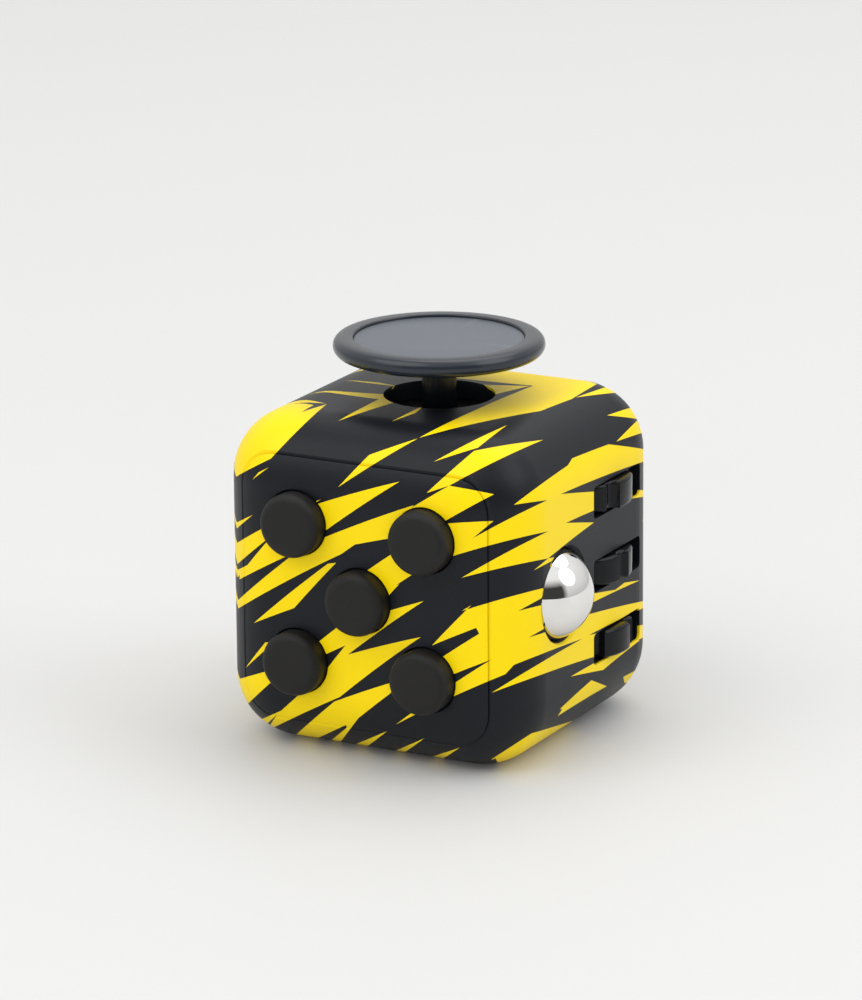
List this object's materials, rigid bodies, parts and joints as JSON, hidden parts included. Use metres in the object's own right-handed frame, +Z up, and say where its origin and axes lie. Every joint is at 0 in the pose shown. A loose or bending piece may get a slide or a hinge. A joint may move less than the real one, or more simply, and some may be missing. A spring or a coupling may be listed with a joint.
{
  "type": "fidget cube",
  "caption": "Hand-sized cube with rounded edges that carries press buttons, a sliding knob, a rolling ball, thumb wheels, a rocker switch, a spinning dial and a thumb dish.",
  "frame": {"origin": "middle of the underside of the cube", "axes": "+Z up through the sliding knob, -Y out of the button face, +X out of the ball and wheel face"},
  "size_m": [0.0383, 0.037, 0.0389],
  "materials": {
    "shell_plastic": "satin moulding, bright yellow with jagged charcoal bands",
    "button_rubber": "matte soft-touch",
    "silicone": "translucent matte",
    "spring_steel": "bright strip",
    "steel": "turned",
    "chrome_steel": "mirror polish",
    "knob_plastic": "satin",
    "knob_pad": "fine matte",
    "gloss_black": "gloss",
    "control_plastic": "satin",
    "inner_plastic": "as moulded"
  },
  "bodies": {
    "cube": {"body_shell": "shell_plastic", "front_cover": "shell_plastic", "button_plate": "inner_plastic", "plate_screws": "steel", "dome_top_left": "spring_steel", "dome_top_right": "spring_steel", "dome_centre": "spring_steel", "dome_bottom_left": "silicone", "dome_bottom_right": "silicone", "glide_retainer": "inner_plastic", "glide_ring": "silicone", "retainer_screws": "steel", "ball_dome": "spring_steel", "roll_bracket": "inner_plastic", "bracket_screws": "steel", "wheel_axle": "steel", "rocker_pin": "steel", "switch_frame": "inner_plastic", "switch_leaf": "spring_steel", "switch_screws": "steel"},
    "button_top_left_body": {"button_top_left": "button_rubber"},
    "button_top_right_body": {"button_top_right": "button_rubber"},
    "button_centre_body": {"button_centre": "button_rubber"},
    "button_bottom_left_body": {"button_bottom_left": "button_rubber"},
    "button_bottom_right_body": {"button_bottom_right": "button_rubber"},
    "glide_carriage_body": {"glide_carriage": "inner_plastic"},
    "glide_knob_body": {"glide_knob": "knob_plastic", "glide_pad": "knob_pad", "glide_slider": "inner_plastic", "glide_screw": "steel"},
    "ball_cradle_body": {"ball_cradle": "inner_plastic"},
    "ball_body": {"roll_ball": "chrome_steel"},
    "wheel_top_body": {"wheel_top": "gloss_black"},
    "wheel_middle_body": {"wheel_middle": "gloss_black"},
    "wheel_bottom_body": {"wheel_bottom": "gloss_black"},
    "rocker_body": {"flip_rocker": "control_plastic"},
    "dial_body": {"spin_dial": "control_plastic", "dial_washer": "steel", "dial_screw": "steel"}
  },
  "joints": [
    {"name": "button_top_left_press", "type": "slide", "parent": "cube", "child": "button_top_left_body", "axis": [0, 1, 0], "range_m": [0, 0.0008], "stiffness_N_per_m": 800, "springref_m": -0.0006, "deforming": ["dome_top_left"]},
    {"name": "button_top_right_press", "type": "slide", "parent": "cube", "child": "button_top_right_body", "axis": [0, 1, 0], "range_m": [0, 0.0008], "stiffness_N_per_m": 800, "springref_m": -0.0006, "deforming": ["dome_top_right"]},
    {"name": "button_centre_press", "type": "slide", "parent": "cube", "child": "button_centre_body", "axis": [0, 1, 0], "range_m": [0, 0.0008], "stiffness_N_per_m": 800, "springref_m": -0.0006, "deforming": ["dome_centre"]},
    {"name": "button_bottom_left_press", "type": "slide", "parent": "cube", "child": "button_bottom_left_body", "axis": [0, 1, 0], "range_m": [0, 0.0008], "stiffness_N_per_m": 800, "springref_m": -0.0006, "deforming": ["dome_bottom_left"]},
    {"name": "button_bottom_right_press", "type": "slide", "parent": "cube", "child": "button_bottom_right_body", "axis": [0, 1, 0], "range_m": [0, 0.0008], "stiffness_N_per_m": 800, "springref_m": -0.0006, "deforming": ["dome_bottom_right"]},
    {"name": "glide_x", "type": "slide", "parent": "cube", "child": "glide_carriage_body", "axis": [1, 0, 0], "range_m": [-0.0024, 0.0024], "stiffness_N_per_m": 80, "deforming": ["glide_ring"]},
    {"name": "glide_y", "type": "slide", "parent": "glide_carriage_body", "child": "glide_knob_body", "axis": [0, 1, 0], "range_m": [-0.0024, 0.0024], "stiffness_N_per_m": 80, "deforming": ["glide_ring"]},
    {"name": "ball_press", "type": "slide", "parent": "cube", "child": "ball_cradle_body", "axis": [-1, 0, 0], "range_m": [0, 0.0008], "stiffness_N_per_m": 800, "springref_m": -0.0006, "deforming": ["ball_dome"]},
    {"name": "ball_roll", "type": "hinge", "parent": "ball_cradle_body", "child": "ball_body", "pos_m": [0.0145, -0.006, 0.0165], "axis": [0, 1, 0], "continuous": true},
    {"name": "wheel_top_spin", "type": "hinge", "parent": "cube", "child": "wheel_top_body", "pos_m": [0.01205, 0.0055, 0.0239], "axis": [0, 0, 1], "continuous": true},
    {"name": "wheel_middle_spin", "type": "hinge", "parent": "cube", "child": "wheel_middle_body", "pos_m": [0.01205, 0.0055, 0.0165], "axis": [0, 0, 1], "continuous": true},
    {"name": "wheel_bottom_spin", "type": "hinge", "parent": "cube", "child": "wheel_bottom_body", "pos_m": [0.01205, 0.0055, 0.0091], "axis": [0, 0, 1], "continuous": true},
    {"name": "rocker_flip", "type": "hinge", "parent": "cube", "child": "rocker_body", "pos_m": [-0.0135, 0, 0.0165], "axis": [0, -1, 0], "range_deg": [0, 23.8], "deforming": ["switch_leaf"]},
    {"name": "dial_spin", "type": "hinge", "parent": "cube", "child": "dial_body", "pos_m": [0, 0.0165, 0.0165], "axis": [0, 1, 0], "continuous": true}
  ]
}
